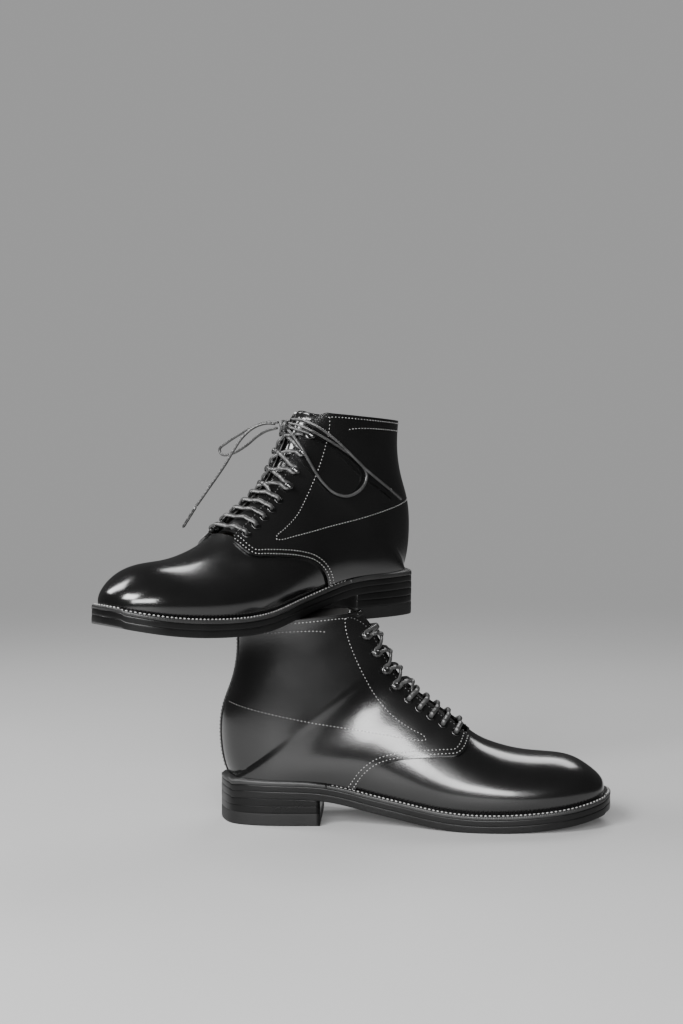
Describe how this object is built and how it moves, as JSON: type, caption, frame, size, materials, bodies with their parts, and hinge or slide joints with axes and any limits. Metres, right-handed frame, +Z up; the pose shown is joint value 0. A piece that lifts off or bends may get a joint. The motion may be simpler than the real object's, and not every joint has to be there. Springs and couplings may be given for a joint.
{
  "type": "pair of lace-up boots",
  "caption": "Pair of black plain-toe leather lace-up ankle boots with welted leather soles, one standing and one resting across its collar.",
  "frame": {"origin": "on the table under the middle of the pair's box, laces of the bow left out", "axes": "+Z up, +X towards the toe of the standing left boot, +Y towards its outer side"},
  "size_m": [0.3844, 0.234, 0.3128],
  "materials": {
    "upper_leather": "polished black calf leather",
    "tongue_leather": "polished black leather, folded at the top",
    "lining_leather": "dull dark lining leather",
    "sole_leather": "stained sole leather, edge waxed",
    "welt_leather": "stained welt leather with a row of stitches",
    "heel_leather": "stacked leather lifts, edge waxed",
    "top_lift_rubber": "dull dark grey rubber",
    "insole_leather": "plain undyed leather",
    "cork": "ground cork",
    "shank_steel": "rolled spring steel",
    "canvas": "woven cotton lining",
    "stiffener": "pressed leather board",
    "eyelet_metal": "black enamelled metal",
    "lace_cord": "round waxed cotton cord",
    "aglet_plastic": "clear wound film over dark cord"
  },
  "bodies": {
    "left_boot": {"outsole_left": "sole_leather", "midsole_left": "sole_leather", "welt_left": "welt_leather", "heel_rand_left": "welt_leather", "heel_lift_upper_left": "heel_leather", "heel_lift_lower_left": "heel_leather", "heel_top_lift_left": "top_lift_rubber", "insole_left": "insole_leather", "cork_filler_left": "cork", "shank_left": "shank_steel", "sock_liner_left": "lining_leather", "vamp_left": "upper_leather", "vamp_lining_left": "canvas", "toe_puff_left": "stiffener", "quarter_outer_left": "upper_leather", "quarter_inner_left": "upper_leather", "quarter_lining_outer_left": "lining_leather", "quarter_lining_inner_left": "lining_leather", "heel_counter_left": "stiffener", "backstay_left": "upper_leather", "eyelet_row_outer_left": "eyelet_metal", "eyelet_row_inner_left": "eyelet_metal", "lace_left": "lace_cord", "lace_knot_left": "lace_cord"},
    "tongue_left": {"tongue_left": "tongue_leather"},
    "right_boot": {"outsole_right": "sole_leather", "midsole_right": "sole_leather", "welt_right": "welt_leather", "heel_rand_right": "welt_leather", "heel_lift_upper_right": "heel_leather", "heel_lift_lower_right": "heel_leather", "heel_top_lift_right": "top_lift_rubber", "insole_right": "insole_leather", "cork_filler_right": "cork", "shank_right": "shank_steel", "sock_liner_right": "lining_leather", "vamp_right": "upper_leather", "vamp_lining_right": "canvas", "toe_puff_right": "stiffener", "quarter_outer_right": "upper_leather", "quarter_inner_right": "upper_leather", "quarter_lining_outer_right": "lining_leather", "quarter_lining_inner_right": "lining_leather", "heel_counter_right": "stiffener", "backstay_right": "upper_leather", "eyelet_row_outer_right": "eyelet_metal", "eyelet_row_inner_right": "eyelet_metal", "lace_right": "lace_cord", "lace_knot_right": "lace_cord", "bow_loop_outer": "lace_cord", "bow_loop_inner": "lace_cord", "lace_end_outer": "lace_cord", "lace_end_inner": "lace_cord", "aglet_outer": "aglet_plastic", "aglet_inner": "aglet_plastic"},
    "tongue_right": {"tongue_right": "tongue_leather"}
  },
  "joints": [
    {"name": "tongue_left_hinge", "type": "hinge", "parent": "left_boot", "child": "tongue_left", "pos_m": [0.0792, 0.0095, 0.068], "axis": [0, -1, 0], "range_deg": [0, 8]},
    {"name": "right_boot_lift", "type": "slide", "parent": "left_boot", "child": "right_boot", "axis": [0, 0, 1], "range_m": [0, 0.18]},
    {"name": "tongue_right_hinge", "type": "hinge", "parent": "right_boot", "child": "tongue_right", "pos_m": [-0.1013, -0.0251, 0.221], "axis": [-0.7046, 0.7096, 0], "range_deg": [0, 8]}
  ]
}
